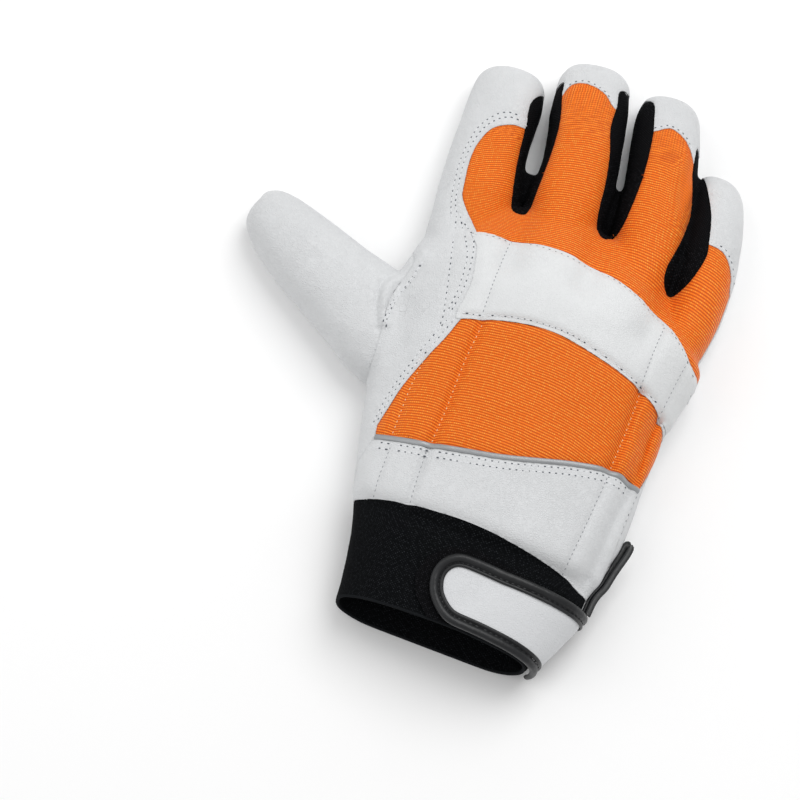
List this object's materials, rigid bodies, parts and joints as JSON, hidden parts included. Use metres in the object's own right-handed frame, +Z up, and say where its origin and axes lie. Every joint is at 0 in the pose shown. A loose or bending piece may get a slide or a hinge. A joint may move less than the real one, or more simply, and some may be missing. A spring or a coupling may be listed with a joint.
{
  "type": "chainsaw glove",
  "caption": "Right-hand chainsaw work glove with a leather palm, ribbed fabric back, knuckle band, elastic cuff and wrist closure tab.",
  "frame": {"origin": "bottom centre of the bounding box, with the glove lying on its palm", "axes": "+Y from the cuff to the fingertips, +X towards the little finger, +Z up out of the back of the hand"},
  "size_m": [0.2052, 0.2684, 0.0453],
  "materials": {
    "white_leather": "fine-grained matte",
    "orange_fabric": "ribbed weave",
    "black_fabric": "matte stretch knit",
    "reflective_grey": "satin reflective tape",
    "dark_binding": "smooth satin"
  },
  "bodies": {
    "root": {"palm_leather": "white_leather", "thumb_leather": "white_leather", "finger_back_panel": "orange_fabric", "knuckle_band": "white_leather", "hand_back_panel": "orange_fabric", "reflective_piping": "reflective_grey", "wrist_panel": "white_leather", "fourchette_index_middle": "black_fabric", "fourchette_middle_ring": "black_fabric", "fourchette_ring_little": "black_fabric", "cuff_band": "black_fabric", "loop_pad": "black_fabric", "closure_tab": "white_leather", "tab_binding": "dark_binding", "hang_loop": "black_fabric"}
  },
  "joints": []
}
